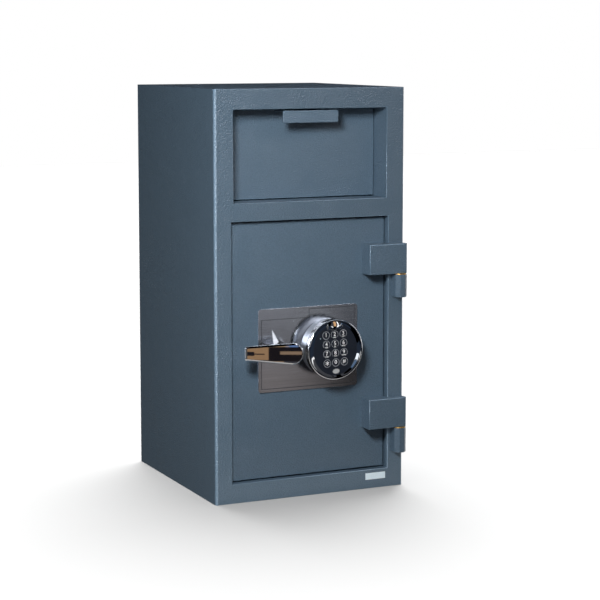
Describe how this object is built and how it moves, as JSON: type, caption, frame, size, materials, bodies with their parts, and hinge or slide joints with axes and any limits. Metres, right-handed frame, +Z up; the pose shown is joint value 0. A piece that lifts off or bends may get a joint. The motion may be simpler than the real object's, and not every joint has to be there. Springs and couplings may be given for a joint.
{
  "type": "drop safe with tilting deposit hopper",
  "caption": "Steel drop safe: front-tilting deposit hopper with a pull lip above a hinged door with keypad lock, lever handle and sliding bolts.",
  "frame": {"origin": "centre of the safe's flat underside", "axes": "+Z up, +X to the right seen from the front, +Y from the door to the back"},
  "size_m": [0.35, 0.394, 0.689],
  "materials": {
    "powder_coat": "satin powder coat with a fine pebble texture, blue-grey",
    "brushed_stainless": "vertical brushed stainless",
    "chrome": "polished chrome",
    "satin_metal": "satin dark metal",
    "bright_steel": "bright zinc-plated steel",
    "brass": "turned brass",
    "keypad_plastic": "dark blue-black moulded plastic",
    "key_plastic": "dark matt keys with pale printed characters",
    "circuit_board": "green solder mask",
    "zinc_case": "die-cast case, as cast",
    "cable_rubber": "matt black cable sheath",
    "label_paper": "white adhesive label, blank"
  },
  "bodies": {
    "safe_body": {"front_frame": "powder_coat", "side_plate_left": "powder_coat", "side_plate_right": "powder_coat", "top_plate": "powder_coat", "floor_plate": "powder_coat", "back_plate": "powder_coat", "recess_collar": "powder_coat", "door_jamb": "powder_coat", "throat_baffle": "powder_coat", "drop_partition": "powder_coat", "rear_baffle": "powder_coat", "blank_label": "label_paper", "hinge_knuckle_lower": "powder_coat", "hinge_knuckle_upper": "powder_coat", "hinge_washer_lower": "brass", "hinge_washer_upper": "brass", "hinge_pin_lower": "bright_steel", "hinge_pin_upper": "bright_steel", "hopper_pin_left": "bright_steel", "hopper_pin_right": "bright_steel"},
    "door": {"door_plate": "powder_coat", "escutcheon": "brushed_stainless", "keypad_base": "satin_metal", "keypad_board": "circuit_board", "keypad_bezel": "chrome", "keypad_face": "keypad_plastic", "keypad_pod": "chrome", "hinge_block_lower": "powder_coat", "hinge_block_upper": "powder_coat", "bolt_guide": "bright_steel", "dead_bar": "bright_steel", "lock_case": "zinc_case", "lock_cable": "cable_rubber", "boltwork_cover": "powder_coat", "cover_screw_1": "bright_steel", "cover_screw_2": "bright_steel", "cover_screw_3": "bright_steel", "cover_screw_4": "bright_steel"},
    "handle": {"handle_lever": "chrome", "spindle_cam": "bright_steel"},
    "boltwork": {"bolt_carriage": "bright_steel", "locking_bolt_lower": "bright_steel", "locking_bolt_middle": "bright_steel", "locking_bolt_upper": "bright_steel"},
    "deadlock": {"lock_bolt": "brass"},
    "hopper": {"hopper_panel": "powder_coat", "hopper_lip": "powder_coat", "hopper_tray": "powder_coat"},
    "key_1_body": {"key_1": "key_plastic"},
    "key_2_body": {"key_2": "key_plastic"},
    "key_3_body": {"key_3": "key_plastic"},
    "key_4_body": {"key_4": "key_plastic"},
    "key_5_body": {"key_5": "key_plastic"},
    "key_6_body": {"key_6": "key_plastic"},
    "key_7_body": {"key_7": "key_plastic"},
    "key_8_body": {"key_8": "key_plastic"},
    "key_9_body": {"key_9": "key_plastic"},
    "key_0_body": {"key_0": "key_plastic"},
    "key_star_body": {"key_star": "key_plastic"},
    "key_hash_body": {"key_hash": "key_plastic"}
  },
  "joints": [
    {"name": "door_swing", "type": "hinge", "parent": "safe_body", "child": "door", "pos_m": [0.1615, -0.192, 0.24], "axis": [0, 0, 1], "range_deg": [0, 110]},
    {"name": "handle_turn", "type": "hinge", "parent": "door", "child": "handle", "pos_m": [-0.047, -0.171, 0.251], "axis": [0, 1, 0], "range_deg": [0, 60]},
    {"name": "bolts_slide", "type": "slide", "parent": "door", "child": "boltwork", "axis": [-1, 0, 0], "range_m": [0, 0.024]},
    {"name": "deadlock_slide", "type": "slide", "parent": "door", "child": "deadlock", "axis": [0, 0, -1], "range_m": [0, 0.01]},
    {"name": "hopper_tilt", "type": "hinge", "parent": "safe_body", "child": "hopper", "pos_m": [0, -0.125, 0.508], "axis": [1, 0, 0], "range_deg": [0, 50]},
    {"name": "key_1_press", "type": "slide", "parent": "door", "child": "key_1_body", "axis": [0, 1, 0], "range_m": [0, 0.0006], "stiffness_N_per_m": 2000, "springref_m": -0.0003},
    {"name": "key_2_press", "type": "slide", "parent": "door", "child": "key_2_body", "axis": [0, 1, 0], "range_m": [0, 0.0006], "stiffness_N_per_m": 2000, "springref_m": -0.0003},
    {"name": "key_3_press", "type": "slide", "parent": "door", "child": "key_3_body", "axis": [0, 1, 0], "range_m": [0, 0.0006], "stiffness_N_per_m": 2000, "springref_m": -0.0003},
    {"name": "key_4_press", "type": "slide", "parent": "door", "child": "key_4_body", "axis": [0, 1, 0], "range_m": [0, 0.0006], "stiffness_N_per_m": 2000, "springref_m": -0.0003},
    {"name": "key_5_press", "type": "slide", "parent": "door", "child": "key_5_body", "axis": [0, 1, 0], "range_m": [0, 0.0006], "stiffness_N_per_m": 2000, "springref_m": -0.0003},
    {"name": "key_6_press", "type": "slide", "parent": "door", "child": "key_6_body", "axis": [0, 1, 0], "range_m": [0, 0.0006], "stiffness_N_per_m": 2000, "springref_m": -0.0003},
    {"name": "key_7_press", "type": "slide", "parent": "door", "child": "key_7_body", "axis": [0, 1, 0], "range_m": [0, 0.0006], "stiffness_N_per_m": 2000, "springref_m": -0.0003},
    {"name": "key_8_press", "type": "slide", "parent": "door", "child": "key_8_body", "axis": [0, 1, 0], "range_m": [0, 0.0006], "stiffness_N_per_m": 2000, "springref_m": -0.0003},
    {"name": "key_9_press", "type": "slide", "parent": "door", "child": "key_9_body", "axis": [0, 1, 0], "range_m": [0, 0.0006], "stiffness_N_per_m": 2000, "springref_m": -0.0003},
    {"name": "key_0_press", "type": "slide", "parent": "door", "child": "key_0_body", "axis": [0, 1, 0], "range_m": [0, 0.0006], "stiffness_N_per_m": 2000, "springref_m": -0.0003},
    {"name": "key_star_press", "type": "slide", "parent": "door", "child": "key_star_body", "axis": [0, 1, 0], "range_m": [0, 0.0006], "stiffness_N_per_m": 2000, "springref_m": -0.0003},
    {"name": "key_hash_press", "type": "slide", "parent": "door", "child": "key_hash_body", "axis": [0, 1, 0], "range_m": [0, 0.0006], "stiffness_N_per_m": 2000, "springref_m": -0.0003}
  ],
  "couplings": [
    {"joint": "bolts_slide", "follows": "handle_turn", "m_per_rad": 0.022918}
  ]
}
